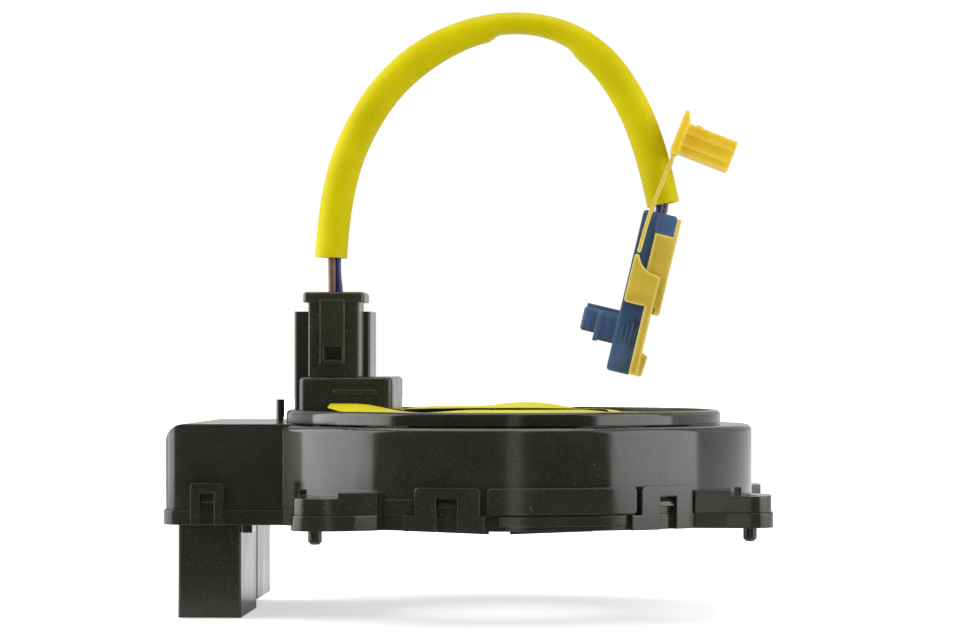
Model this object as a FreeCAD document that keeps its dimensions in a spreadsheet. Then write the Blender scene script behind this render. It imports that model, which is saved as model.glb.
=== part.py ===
"""Steering clock spring, in millimetres.

A flat drum stays on the steering column. A rotor turns in it with the wheel and carries a
socket for the switches and a short lead to the airbag connector. A coiled flat cable joins them.
Frame: +Z runs up the steering axis, -Y is the front, z = 0 is the underside of the bottom cover.
"""
import FreeCAD, Part
import math
import os
import re

import Sketcher
from FreeCAD import Placement, Rotation, Vector

SIZES = {
    # Drum of the case and the plane where it meets the bottom cover.
    "drum_radius": 54.4,
    "drum_round": 1.2,
    "case_top": 20.9,
    "case_wall": 2.0,
    "case_roof": 1.9,
    "mouth_radius": 41.0,
    "split": 3.1,
    # Side box of the case, over the column connectors. Its width runs on from the drum.
    "box_width": 16.4,
    "box_bite": 10.4,
    "box_front": 30.0,
    "box_back": 31.5,
    "box_top": 21.3,
    "box_wall": 1.8,
    "box_corner": 4.0,
    "box_shoulder": 4.3,
    "gate_half": 8.0,
    # Bottom cover.
    "cover_plate": 1.5,
    "cover_rim": 2.4,
    "cover_lip": 0.4,
    "cover_rib": 1.2,
    "rib_count": 12,
    "spigot_height": 1.0,
    "spigot_wall": 1.2,
    "fit_gap": 0.1,
    "foot_drop": 0.75,
    "foot_front": 50.4,
    "foot_back": 48.4,
    # Ears that screw and peg the drum to the column switch, placed by angle from the front.
    "ear_lobe": 4.5,
    "ear_rise": 3.5,
    "ear_step": 4.7,
    "ear_hole": 1.8,
    "ear_boss": 2.6,
    "boss_rise": 1.4,
    "ear_reach": 8.1,
    "ear_bend": 15.0,
    "web_reach": 1.8,
    "near_ear_turn": 35.7,
    "near_web_turn": 25.0,
    "near_root_turn": 50.0,
    "far_ear_turn": 57.7,
    "far_web_turn": 47.4,
    "far_root_turn": 69.5,
    "step_inset": 0.5,
    "peg_radius": 1.45,
    "peg_length": 2.9,
    "peg_bevel": 0.6,
    # Snap tabs between cover and case.
    "tab_wall": 1.4,
    "tab_top": 8.9,
    "tab_round": 0.9,
    "tab_window_top": 6.8,
    "catch_low": 4.8,
    "catch_high": 6.5,
    "catch_reach": 1.1,
    "catch_side": 0.2,
    "tab_turn": 7.0,
    "window_turn": 2.25,
    "base_left": 2.4,
    "base_right": 0.8,
    "first_tab": -9.6,
    "second_tab": 39.9,
    "box_tab_out": 6.95,
    "box_tab_half": 3.55,
    "box_window_half": 1.5,
    # Raised band and ledge on the drum wall.
    "band_reach": 1.2,
    "band_low": 3.4,
    "band_high": 8.7,
    "band_round": 0.8,
    "ledge_reach": 0.3,
    "ledge_rise": 3.2,
    # Rotor: hub, disc with a raised rim, and the collar that runs in the mouth of the case.
    "bore_radius": 20.5,
    "hub_wall": 1.5,
    "rim_radius": 47.6,
    "rim_top": 24.0,
    "rim_width": 2.0,
    "rim_round": 0.9,
    "disc_top": 22.8,
    "turn_gap": 0.3,
    "rim_gap": 1.0,
    "collar_wall": 1.8,
    "collar_drop": 1.6,
    # Retainer ring under the cover.
    "retainer_wall": 1.25,
    "retainer_flange": 27.6,
    "retainer_top": 4.2,
    "retainer_low": 0.15,
    # Flat cable and its slide sheets.
    "cable_start": 27.2,
    "cable_end": 51.8,
    "cable_turns": 6,
    "cable_thick": 0.3,
    "cable_low": 4.4,
    "cable_high": 18.0,
    "sheet_thick": 0.3,
    # Plain film on the rotor's face.
    "film_thick": 0.15,
    "film_inset": 3.0,
    # Connector block on the rotor and its switch socket, which opens upward.
    "block_left": 43.2,
    "block_right": 23.1,
    "block_front": 19.0,
    "block_back": 12.4,
    "block_top": 31.2,
    "block_corner": 1.5,
    "block_round": 0.9,
    "mark_left": 35.6,
    "mark_right": 26.6,
    "mark_low": 27.6,
    "mark_high": 28.4,
    "mark_reach": 0.25,
    "socket_left": 45.8,
    "socket_right": 29.1,
    "socket_front": 4.0,
    "socket_top": 45.5,
    "socket_wall": 1.5,
    "socket_floor": 33.2,
    "leg_wall": 2.3,
    "leg_half": 4.0,
    "leg_low": 4.8,
    "pin_pitch": 1.6,
    "column_pitch": 3.0,
    "pin_size": 0.6,
    "pin_tip": 42.0,
    "switch_pin_x": 37.4,
    # Lead holder in front of the socket.
    "holder_left": 41.3,
    "holder_right": 30.3,
    "holder_front": 18.0,
    "holder_back": 5.5,
    "holder_top": 47.3,
    "holder_flange": 1.1,
    "flange_top": 49.5,
    "tongue_inset": 2.8,
    "tongue_drop": 4.6,
    "flange_round": 0.7,
    "strip_reach": 0.7,
    "strip_left": 38.7,
    "strip_right": 33.5,
    "strip_low": 34.0,
    "latch_rim": 0.85,
    "latch_high": 37.7,
    "latch_deep": 1.2,
    # Airbag lead: two wires in a soft sleeve, in the plane y = -lead_depth.
    "lead_depth": 11.0,
    "wire_radius": 0.8,
    "wire_hole": 1.1,
    "wire_start": 46.0,
    "sleeve_radius": 3.5,
    "sleeve_wall": 0.9,
    # Column connector under the side box, set in from the box and clear of the drum.
    "shroud_inset": 2.4,
    "shroud_step": 0.5,
    "shroud_front": 25.0,
    "shroud_back": 30.0,
    "shroud_split": 4.0,
    "shroud_gap": 0.8,
    "front_drop": 20.0,
    "back_drop": 18.2,
    "shroud_wall": 1.3,
    "shroud_floor": 2.0,
    "opening_gap": 0.3,
    "flange_rise": 1.7,
    "pin_stub": 3.0,
    "pin_rise": 7.0,
    "key_width": 2.1,
    "key_length": 6.4,
    "key_drop": 1.9,
    "post_inset": 5.1,
    "post_top": 26.2,
    "post_radius": 0.9,
    # Airbag connector: its own frame stands on the foot of the blue housing.
    "squib_x": 26.75,
    "squib_z": 31.84,
    "squib_tilt": 13.4,
    "body_half": 4.4,
    "body_left": 4.2,
    "body_foot_right": 0.7,
    "body_right": 2.5,
    "body_back": 3.3,
    "body_waist": 15.1,
    "body_shoulder": 22.3,
    "body_head": 31.1,
    "body_top": 35.4,
    "body_round": 0.8,
    "body_wall": 1.2,
    "head_left": 0.9,
    "room_left": 2.8,
    "room_right": 0.4,
    "grip_reach": 0.35,
    "grip_height": 9.0,
    # Keyed nose of the airbag connector.
    "nose_height": 9.7,
    "nose_end": 11.75,
    "nose_round": 0.8,
    "nose_bevel": 0.4,
    "tip_half": 2.9,
    "tip_low": 7.15,
    "tip_high": 12.3,
    "key_half": 1.3,
    "key_high": 13.1,
    "collar_half": 3.6,
    "collar_low": 5.8,
    "collar_high": 11.6,
    "collar_end": 8.6,
    "ridge_reach": 0.3,
    "ridge_width": 0.9,
    "bore_half": 1.9,
    "bore_rise": 1.5,
    # Yellow back of the airbag connector.
    "skin": 0.6,
    "skin_gap": 0.05,
    "cover_back": 4.2,
    "cover_low": 13.9,
    "cover_high": 34.9,
    "cover_side": 0.5,
    "wing_left": 0.7,
    # Lock of the airbag connector, on two straps beside the lead.
    "tongue_low": 0.2,
    "hook_reach": 3.86,
    "hook_low": 4.7,
    "hook_high": 5.5,
    "plate_left": 3.95,
    "plate_low": 15.1,
    "plate_high": 21.95,
    "plate_round": 0.6,
    "plate_bend": 4.0,
    "strap_wall": 0.95,
    "strap_thick": 0.9,
    "strap_length": 21.1,
    "strap_gap": 0.15,
    "strap_lean": 6.2,
    "strap_bow": 0.55,
    "bow_height": 8.0,
    "bow_radius": 60.0,
    "root_x": -3.15,
    "root_z": 26.5,
    "hinge_gap": 0.3,
    "cap_lean": 8.0,
    "cap_height": 10.6,
    "cap_left": 1.05,
    "cap_right": 0.85,
    "cap_waist": 1.9,
    "cap_round": 0.35,
    "plug_length": 11.15,
    "plug_low": 1.6,
    "plug_high": 8.3,
    "plug_half": 3.9,
    "plug_round": 0.5,
    "plug_rib": 0.8,
    "plug_rib_reach": 0.4,
}

# Hand-chosen route of the lead, as (x, z) points in its plane.
SLEEVE_ROUTE = [
    (-37.0, 57.9), (-36.4, 68.0), (-32.3, 83.0), (-22.6, 97.4), (-8.0, 106.9),
    (7.4, 108.5), (20.0, 102.6), (28.1, 91.3), (32.9, 78.7), (35.0, 68.5),
]
BROWN_ROUTE = [
    (-36.8, 46.0), (-36.8, 54.0), (-37.4, 68.1), (-33.2, 83.4), (-23.2, 98.1), (-8.2, 107.8),
    (7.6, 109.4), (20.6, 103.2), (28.9, 91.8), (33.8, 78.9), (35.9, 69.6), (33.92, 60.87),
]
BLUE_ROUTE = [
    (-35.1, 46.0), (-35.1, 54.0), (-35.6, 67.7), (-31.5, 82.6), (-22.0, 96.7), (-7.8, 106.0),
    (7.2, 107.6), (19.4, 102.0), (27.3, 90.8), (31.9, 78.7), (34.2, 70.0), (32.27, 61.26),
]

SWITCH_PINS = 5
COLUMN_PINS = 6
SOCKET_MIDDLE = "(block_back - socket_front) / 2"
BOX_LEFT = "(drum_radius + box_width)"
BOX_INNER = "(drum_radius - box_bite)"
BOX_TAB_X = "(drum_radius + box_tab_out)"
SHROUD_LEFT = "(drum_radius + box_width - shroud_inset)"
SHROUD_RIGHT = "(drum_radius + shroud_step)"
SHROUD_MIDDLE = "(drum_radius + (box_width - shroud_inset + shroud_step) / 2)"
LOCK_IN = "(body_half + skin + strap_gap)"
LOCK_OUT = "(body_half + skin + strap_gap + strap_wall)"

doc = FreeCAD.newDocument("clock_spring")
sheet = doc.addObject("Spreadsheet::Sheet", "dims")
for row, (name, size) in enumerate(SIZES.items(), start=1):
    sheet.set(f"A{row}", name)
    sheet.set(f"B{row}", str(size))
    sheet.setAlias(f"B{row}", name)
doc.recompute()

WORDS = re.compile(r"\b(" + "|".join(SIZES) + r")\b")
pieces = []


def tied(text):
    """The same expression with each size read from the sheet."""
    return WORDS.sub(r"dims.\1", str(text))


def number(text):
    """Present value of an expression in the sheet's sizes."""
    return float(sheet.evalExpression(tied(text)))


def bind(thing, **texts):
    for name, text in texts.items():
        thing.setExpression(name, tied(text))


def new_body(label):
    body = doc.addObject("PartDesign::Body", label)
    body.Label = label
    pieces.append(body)
    return body


def keep(thing, label):
    thing.Label = label
    pieces.append(thing)
    return thing


def new_sketch(body, name, role, lift="0"):
    sketch = body.newObject("Sketcher::SketchObject", f"{body.Name}_{name}_sketch")
    plane = next(item for item in body.Origin.OriginFeatures if item.Role == role)
    sketch.AttachmentSupport = [(plane, "")]
    sketch.MapMode = "FlatFace"
    sketch.setExpression("AttachmentOffset.Base.z", tied(lift))
    return sketch


def pin_down(sketch, geometry, point, across, up):
    """Fixes one point of a sketch by its two distances from the origin."""
    for kind, text in (("DistanceX", across), ("DistanceY", up)):
        rule = Sketcher.Constraint(kind, -1, 1, geometry, point, number(text))
        sketch.setExpression(f"Constraints[{sketch.addConstraint(rule)}]", tied(text))


def draw_outline(sketch, corners):
    """Closed outline of straight edges. A corner's third item is its radius."""
    flat = [Vector(number(corner[0]), number(corner[1]), 0) for corner in corners]
    count = len(flat)
    starts, ends, arcs = list(flat), list(flat), {}
    for i, corner in enumerate(corners):
        if len(corner) < 3:
            continue
        before = (flat[i] - flat[i - 1]).normalize()
        after = (flat[(i + 1) % count] - flat[i]).normalize()
        turn = before.getAngle(after)
        radius = number(corner[2])
        reach = radius * math.tan(turn / 2)
        ends[i] = flat[i] - before * reach
        starts[i] = flat[i] + after * reach
        left = before.cross(after).z > 0
        side = Vector(-before.y, before.x, 0) * (1 if left else -1)
        centre = ends[i] + side * radius
        first, last = (ends[i], starts[i]) if left else (starts[i], ends[i])
        angles = [math.atan2(p.y - centre.y, p.x - centre.x) for p in (first, last)]
        circle = Part.Circle(centre, Vector(0, 0, 1), radius)
        arcs[i] = (Part.ArcOfCircle(circle, *angles), left)
    lines = [Part.LineSegment(starts[i], ends[(i + 1) % count]) for i in range(count)]
    sketch.addGeometry(lines, False)
    for i, corner in enumerate(corners):
        last_line = (i - 1) % count
        if i not in arcs:
            sketch.addConstraint(Sketcher.Constraint("Coincident", last_line, 2, i, 1))
            pin_down(sketch, i, 1, corner[0], corner[1])
            continue
        arc, left = arcs[i]
        bend = sketch.addGeometry(arc, False)
        mark = sketch.addGeometry(Part.Point(flat[i]), True)
        near, far = (1, 2) if left else (2, 1)
        sketch.addConstraint(Sketcher.Constraint("Tangent", last_line, 2, bend, near))
        sketch.addConstraint(Sketcher.Constraint("Tangent", i, 1, bend, far))
        sketch.addConstraint(Sketcher.Constraint("PointOnObject", mark, 1, last_line))
        sketch.addConstraint(Sketcher.Constraint("PointOnObject", mark, 1, i))
        pin_down(sketch, mark, 1, corner[0], corner[1])
        rule = Sketcher.Constraint("Radius", bend, number(corner[2]))
        sketch.setExpression(f"Constraints[{sketch.addConstraint(rule)}]", tied(corner[2]))


def draw_circle(sketch, across, up, radius):
    centre = Vector(number(across), number(up), 0)
    ring = sketch.addGeometry(Part.Circle(centre, Vector(0, 0, 1), number(radius)), False)
    pin_down(sketch, ring, 3, across, up)
    rule = Sketcher.Constraint("Radius", ring, number(radius))
    sketch.setExpression(f"Constraints[{sketch.addConstraint(rule)}]", tied(radius))


def settle(body, feature, before):
    """Recomputes the document and names a feature that leaves its body as it was."""
    doc.recompute()
    after = body.Shape.Volume
    if abs(after - before) < 1e-3:
        print("changes nothing:", body.Label, feature.Name)
    return feature


def extrude(body, name, sketch, low, high, cut):
    before = body.Shape.Volume if body.Tip else 0.0
    kind = "PartDesign::Pocket" if cut else "PartDesign::Pad"
    feature = body.newObject(kind, f"{body.Name}_{name}")
    feature.Profile = sketch
    feature.Reversed = cut
    bind(feature, Length=f"({high}) - ({low})")
    sketch.Visibility = False
    return settle(body, feature, before)


def prism(body, name, role, corners, low, high, cut=False):
    """Outline on one of the body's planes, drawn out between two places on its normal."""
    lift = f"-({high})" if role == "XZ_Plane" else low
    sketch = new_sketch(body, name, role, lift)
    draw_outline(sketch, corners)
    return extrude(body, name, sketch, low, high, cut)


def rod(body, name, role, across, up, radius, low, high, cut=False):
    """Round form or hole, drawn out as a prism is."""
    lift = f"-({high})" if role == "XZ_Plane" else low
    sketch = new_sketch(body, name, role, lift)
    draw_circle(sketch, across, up, radius)
    return extrude(body, name, sketch, low, high, cut)


def turned(body, name, corners, cut=False, start=None, sweep="360"):
    """Outline of (radius, height) corners, turned about the body's own upright axis."""
    before = body.Shape.Volume if body.Tip else 0.0
    sketch = new_sketch(body, name, "XZ_Plane")
    if start is not None:
        sketch.AttachmentOffset = Placement(Vector(), Rotation(Vector(0, 1, 0), 1.0))
        sketch.setExpression("AttachmentOffset.Rotation.Angle", tied(start))
    draw_outline(sketch, corners)
    kind = "PartDesign::Groove" if cut else "PartDesign::Revolution"
    feature = body.newObject(kind, f"{body.Name}_{name}")
    feature.Profile = sketch
    feature.ReferenceAxis = (sketch, ["V_Axis"])
    bind(feature, Angle=sweep)
    return settle(body, feature, before)


def sector(body, name, start, sweep, inner, outer, low, high, cut=False):
    """Curved block round the axis; angles run from +X towards +Y."""
    corners = [(inner, low), (outer, low), (outer, high), (inner, high)]
    return turned(body, name, corners, cut, start, sweep)


def oblong(left, right, front, back, corner=None):
    """Corners of an upright block in plan, from its four sides."""
    tail = (corner,) if corner else ()
    return [(left, front) + tail, (right, front) + tail, (right, back) + tail, (left, back) + tail]


def dress_edges(body, kind, name, size, wanted):
    """Fillet or Chamfer on the edges of a body that a test picks."""
    base = body.Tip
    edges = [f"Edge{i}" for i, edge in enumerate(base.Shape.Edges, start=1) if wanted(edge)]
    if not edges:
        print("no edge for", name)
        return base
    feature = body.newObject(f"PartDesign::{kind}", f"{body.Name}_{name}")
    feature.Base = (base, edges)
    bind(feature, **{"Radius" if kind == "Fillet" else "Size": size})
    doc.recompute()
    return feature


def at(value, text):
    return abs(value - number(text)) < 1e-4


def front_and_rear(first, last):
    """Start and sweep of a curved block and of its twin behind the X axis.

    The two angles are given from -Y towards +X, as they show from the front."""
    sweep = f"({last}) - ({first})"
    return [("front", f"-90 + ({first})", sweep), ("rear", f"90 - ({last})", sweep)]


def around(reach, turn):
    """Plan point beside the drum: reach from its wall, angle from the front towards +X."""
    return f"(drum_radius + ({reach})) * sin({turn})", f"-(drum_radius + ({reach})) * cos({turn})"


def ear_centre(far, flip):
    across, depth = around("ear_reach", "far_ear_turn" if far else "-near_ear_turn")
    return across, f"-({depth})" if flip else depth


def ear_corners(far, flip, lobe):
    """Plan of one ear: a lobe round its hole, with a web that runs to the drum."""
    across, depth = ear_centre(far, False)
    front = f"{depth} - {lobe}"
    if far:
        points = [
            around("-case_wall * 0.8", "far_web_turn"), around("web_reach", "far_web_turn"),
            (f"{across} - {lobe}", front), (f"{across} + {lobe}", front, f"{lobe} * 0.98"),
            (f"{across} + {lobe}", f"{depth} + 2 * {lobe}"),
            around("-case_wall / 2", "far_root_turn"),
        ]
    else:
        points = [
            around("-case_wall / 4", "-near_root_turn"),
            (f"{across} - {lobe}", front, f"{lobe} * 0.98"),
            (f"{across} + {lobe}", front, "ear_bend"),
            around("web_reach", "-near_web_turn"), around("-case_wall * 0.8", "-near_web_turn"),
        ]
    if not flip:
        return points
    return [(p[0], f"-({p[1]})") + p[2:] for p in reversed(points)]


EARS = [("near_front", False, False), ("near_rear", False, True),
        ("far_front", True, False), ("far_rear", True, True)]


def make_case():
    """Drum wall with an inward lip, and the side box that shares its wall."""
    case = new_body("case")
    roof_low = "case_top - case_roof"
    wall_in = "drum_radius - case_wall"
    box_out = f"-{BOX_LEFT}"
    prism(case, "box", "XY_Plane", [
        (f"-{BOX_INNER}", "-box_front"), (f"-{BOX_INNER}", "box_back"),
        (box_out, "box_back", "box_corner"), (box_out, "-box_front", "box_corner")],
        "split", "box_top")
    prism(case, "shoulder", "XZ_Plane", [
        (box_out, "0"), (box_out, "box_top", "box_shoulder"), (f"-{BOX_INNER}", "box_top"),
        (f"-{BOX_INNER}", "box_top + 2"), (f"{box_out} - 2", "box_top + 2"),
        (f"{box_out} - 2", "0")], "-box_front - 1", "box_back + 1", cut=True)
    prism(case, "box_room", "XY_Plane",
          oblong(f"{box_out} + box_wall", f"-{BOX_INNER}", "-box_front + box_wall",
                 "box_back - box_wall"), "split", "box_top - box_wall", cut=True)
    for name, far, flip in EARS:
        across, depth = ear_centre(far, flip)
        prism(case, name + "_ear", "XY_Plane", ear_corners(far, flip, "ear_lobe"),
              "split", "split + ear_step")
        left = f"{across} - ear_lobe - step_inset"
        right = f"{across} + ear_lobe + step_inset"
        near = f"{depth} - ear_lobe - 1"
        back = f"{depth} + 3 * ear_lobe"
        if flip:
            near, back = f"{depth} - 3 * ear_lobe", f"{depth} + ear_lobe + 1"
        prism(case, name + "_step", "XY_Plane",
              oblong(f"{left} + 1", f"{right} + 1", near, back) if far
              else oblong(left, right, near, back),
              "split + ear_rise", "split + ear_step + 1", cut=True)
    turned(case, "drum", [(wall_in, "split"), ("drum_radius", "split"),
                          ("drum_radius", "case_top", "drum_round"), ("mouth_radius", "case_top"),
                          ("mouth_radius", roof_low), (wall_in, roof_low)])
    for name, start, sweep in front_and_rear("-1.0", "31.8"):
        sector(case, "band_" + name, start, sweep, "drum_radius - 0.5",
               "drum_radius + band_reach", "band_low", "band_high")
    dress_edges(case, "Fillet", "band_round", "band_round",
                lambda e: abs(e.Length - number("band_reach")) < 0.02
                and e.BoundBox.ZLength < 1e-4
                and (at(e.BoundBox.ZMin, "band_low") or at(e.BoundBox.ZMin, "band_high")))
    for name, start, sweep in front_and_rear("-near_web_turn - 1", "-17.4"):
        sector(case, "ledge_" + name, start, sweep, "drum_radius - 0.5",
               "drum_radius + ledge_reach", "split", "split + ledge_rise")
    for middle in ("first_tab", "second_tab"):
        for name, start, sweep in front_and_rear(f"{middle} - window_turn + catch_side",
                                                 f"{middle} + window_turn - catch_side"):
            turned(case, f"catch_{middle}_{name}",
                   [("drum_radius - 0.5", "catch_low"), ("drum_radius + catch_reach", "catch_low"),
                    ("drum_radius + 0.2", "catch_high"), ("drum_radius - 0.5", "catch_high")],
                   start=start, sweep=sweep)
    for side, sign in (("box_front", "-1"), ("box_back", "1")):
        face = f"{side} * {sign}"
        wedge = [(f"({face}) - 0.5 * {sign}", "catch_low"),
                 (f"({face}) + catch_reach * {sign}", "catch_low"),
                 (f"({face}) + 0.2 * {sign}", "catch_high"),
                 (f"({face}) - 0.5 * {sign}", "catch_high")]
        prism(case, side + "_catch", "YZ_Plane", wedge,
              f"-{BOX_TAB_X} - box_window_half + catch_side",
              f"-{BOX_TAB_X} + box_window_half - catch_side")
    rod(case, "post", "XY_Plane", "-drum_radius + post_inset", "0", "post_radius",
        "box_top - 0.6", "post_top")
    turned(case, "cable_room", [("0", "split - 1"), (wall_in, "split - 1"), (wall_in, roof_low),
                                ("mouth_radius", roof_low), ("mouth_radius", "box_top + 1"),
                                ("0", "box_top + 1")], cut=True)
    turned(case, "rotor_room", [("mouth_radius - 1", "case_top"),
                                ("rim_radius + rim_gap", "case_top"),
                                ("rim_radius + rim_gap", "box_top + 1"),
                                ("mouth_radius - 1", "box_top + 1")], cut=True)
    prism(case, "gate", "XY_Plane",
          oblong("-drum_radius - 0.4", "-drum_radius + case_wall + 2", "-gate_half", "gate_half"),
          "split", "case_top - case_roof - 0.6", cut=True)
    for name, far, flip in EARS:
        across, depth = ear_centre(far, flip)
        if flip:
            rod(case, name + "_boss", "XY_Plane", across, depth, "ear_boss",
                "split + ear_rise - 0.5", "split + ear_rise + boss_rise")
        rod(case, name + "_hole", "XY_Plane", across, depth, "ear_hole",
            "split", "split + ear_step + 1", cut=True)
    return case


def make_cover():
    """Bottom cover: ribbed plate, pegs, snap tabs and the opening for the connectors."""
    cover = new_body("bottom_cover")
    under = "split - cover_plate"
    hole = "bore_radius + hub_wall + skin_gap + retainer_wall + turn_gap"
    spigot = "drum_radius - case_wall - fit_gap"
    turned(cover, "plate", [
        (hole, under), ("retainer_flange + 0.8", under), ("retainer_flange + 0.8", "0"),
        ("retainer_flange + 0.8 + cover_rib", "0"), ("retainer_flange + 0.8 + cover_rib", under),
        ("drum_radius - cover_rim", under), ("drum_radius - cover_rim", "0"), ("drum_radius", "0"),
        ("drum_radius", "split"), (spigot, "split"), (spigot, "split + spigot_height"),
        (f"{spigot} - spigot_wall", "split + spigot_height"), (f"{spigot} - spigot_wall", "split"),
        (hole, "split")])
    rib = prism(cover, "rib", "XY_Plane",
                oblong("retainer_flange + 1.2", "drum_radius - 1", "-cover_rib / 2",
                       "cover_rib / 2"), "0.2", f"{under} + 0.2")
    ribs = cover.newObject("PartDesign::PolarPattern", "bottom_cover_ribs")
    ribs.Originals = [rib]
    ribs.Axis = (next(o for o in cover.Origin.OriginFeatures if o.Role == "Z_Axis"), [""])
    bind(ribs, Occurrences="rib_count")
    cover.Tip = ribs
    doc.recompute()
    prism(cover, "base", "XY_Plane", [
        (f"-{BOX_INNER}", "-box_front - cover_lip"), (f"-{BOX_INNER}", "box_back + cover_lip"),
        (f"-{BOX_LEFT} - cover_lip", "box_back + cover_lip", "box_corner"),
        (f"-{BOX_LEFT} - cover_lip", "-box_front - cover_lip", "box_corner")], "0", "split")
    for name, far, flip in EARS:
        across, depth = ear_centre(far, flip)
        prism(cover, name + "_ear", "XY_Plane",
              ear_corners(far, flip, "(ear_lobe + cover_lip)"), "0", "split")
        rod(cover, name + "_peg", "XY_Plane", across, depth, "peg_radius", "-peg_length", "0.5")
    dress_edges(cover, "Chamfer", "peg_bevel", "peg_bevel",
                lambda e: at(e.BoundBox.ZMax, "-peg_length"))
    for name, start, sweep in front_and_rear("1.5", "29.4"):
        sector(cover, "band_" + name, start, sweep, "drum_radius - 0.5",
               "drum_radius + band_reach - 0.3", "1.0", "split")
    feet = [("left", "-18.4", "-0.9"), ("right", "20.3", "3.4")]
    for side, thin, thick in feet:
        corners = [(thin, "0.5"), (thin, "-0.1"), (thick, "-foot_drop"), (thick, "0.5")]
        if side == "right":
            corners.reverse()
        prism(cover, f"foot_{side}_front", "XZ_Plane", corners, "-foot_front", "-foot_back")
        prism(cover, f"foot_{side}_rear", "XZ_Plane", corners, "foot_back", "foot_front")
    tab_in = "drum_radius + fit_gap"
    tab_out = "drum_radius + fit_gap + tab_wall"
    for middle in ("first_tab", "second_tab"):
        for name, start, sweep in front_and_rear(f"{middle} - tab_turn", f"{middle} + tab_turn"):
            turned(cover, f"tab_{middle}_{name}", [
                ("drum_radius - 1", "0"), (tab_out, "0"), (tab_out, "tab_top"),
                (tab_in, "tab_top"), (tab_in, "split"), ("drum_radius - 1", "split")],
                start=start, sweep=sweep)
        for name, start, sweep in front_and_rear(f"{middle} - tab_turn - base_left",
                                                 f"{middle} + tab_turn + base_right"):
            sector(cover, f"base_{middle}_{name}", start, sweep, "drum_radius - 1", tab_out,
                   "0", "split")
        for name, start, sweep in front_and_rear(f"{middle} - window_turn",
                                                 f"{middle} + window_turn"):
            sector(cover, f"window_{middle}_{name}", start, sweep, tab_in, f"{tab_out} + 1",
                   "-1", "tab_window_top", cut=True)
    for side, sign in (("box_front", "-1"), ("box_back", "1")):
        face = f"({side}) * {sign}"
        profile = [(f"{face} - 0.8 * {sign}", "0"),
                   (f"{face} + (fit_gap + tab_wall) * {sign}", "0"),
                   (f"{face} + (fit_gap + tab_wall) * {sign}", "tab_top"),
                   (f"{face} + fit_gap * {sign}", "tab_top"),
                   (f"{face} + fit_gap * {sign}", "split"),
                   (f"{face} - 0.8 * {sign}", "split")]
        prism(cover, side + "_tab", "YZ_Plane", profile,
              f"-{BOX_TAB_X} - box_tab_half", f"-{BOX_TAB_X} + box_tab_half")
        window = [(f"{face} + fit_gap * {sign}", "-1"),
                  (f"{face} + (tab_wall + 1) * {sign}", "-1"),
                  (f"{face} + (tab_wall + 1) * {sign}", "tab_window_top"),
                  (f"{face} + fit_gap * {sign}", "tab_window_top")]
        prism(cover, side + "_window", "YZ_Plane", window,
              f"-{BOX_TAB_X} - box_window_half", f"-{BOX_TAB_X} + box_window_half", cut=True)
    dress_edges(cover, "Fillet", "tab_round", "tab_round",
                lambda e: abs(e.Length - number("tab_wall")) < 0.02
                and at(e.BoundBox.ZMin, "tab_top") and at(e.BoundBox.ZMax, "tab_top"))
    prism(cover, "connector_opening", "XY_Plane",
          oblong(f"-{SHROUD_LEFT} - opening_gap", f"-{SHROUD_RIGHT} + opening_gap",
                 "-shroud_front - opening_gap", "shroud_back + opening_gap"),
          "-1", "split + 1", cut=True)
    prism(cover, "key", "XY_Plane",
          oblong(f"-{SHROUD_RIGHT} + opening_gap", f"-{SHROUD_RIGHT} + opening_gap + key_width",
                 "-shroud_front", "-shroud_front + key_length"), "-key_drop", "0.5")
    return cover


def make_column_connector():
    """Two downward shrouds on one flange, with a foot that reaches the outer cable end."""
    part = new_body("column_connector")
    prism(part, "flange", "XY_Plane",
          oblong(f"-{BOX_LEFT} + box_wall + fit_gap", "-drum_radius - 0.3",
                 "-box_front + box_wall + fit_gap", "box_back - box_wall - fit_gap"),
          "split", "split + flange_rise")
    prism(part, "foot", "XY_Plane", oblong("-drum_radius - 2", "-drum_radius + case_wall - 0.1",
                                           "-gate_half + 1.5", "gate_half - 1.5"),
          "split + spigot_height + 0.3", "cable_high")
    halves = [("front", "-shroud_front", "shroud_split - shroud_gap / 2", "front_drop"),
              ("back", "shroud_split + shroud_gap / 2", "shroud_back", "back_drop")]
    for name, near, far, drop in halves:
        prism(part, name + "_shroud", "XY_Plane",
              oblong(f"-{SHROUD_LEFT}", f"-{SHROUD_RIGHT}", near, far, "0.8"),
              f"-{drop}", "split")
        prism(part, name + "_socket", "XY_Plane",
              oblong(f"-{SHROUD_LEFT} + shroud_wall", f"-{SHROUD_RIGHT} - shroud_wall",
                     f"({near}) + shroud_wall", f"({far}) - shroud_wall", "0.5"),
              f"-{drop} - 1", "-shroud_floor", cut=True)
        middle = f"(({near}) + ({far})) / 2"
        side = f"-{SHROUD_LEFT}"
        prism(part, name + "_latch", "XZ_Plane",
              [(f"{side} + 0.3", "-11.7"), (f"{side} - 0.2", "-11.7"), (f"{side} - 0.7", "-10.6"),
               (f"{side} - 0.2", "-9.5"), (f"{side} + 0.3", "-9.5")],
              f"{middle} - 2.5", f"{middle} + 2.5")
        for column in range(COLUMN_PINS):
            place = f"{middle} + ({column - 2.5}) * column_pitch"
            prism(part, f"{name}_pin_hole_{column}", "XY_Plane",
                  oblong(f"-{SHROUD_MIDDLE} - pin_size / 2 - skin_gap",
                         f"-{SHROUD_MIDDLE} + pin_size / 2 + skin_gap",
                         f"{place} - pin_size / 2 - skin_gap",
                         f"{place} + pin_size / 2 + skin_gap"),
                  "-shroud_floor - 1", "split + flange_rise + pin_stub + 1", cut=True)
    return part


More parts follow.
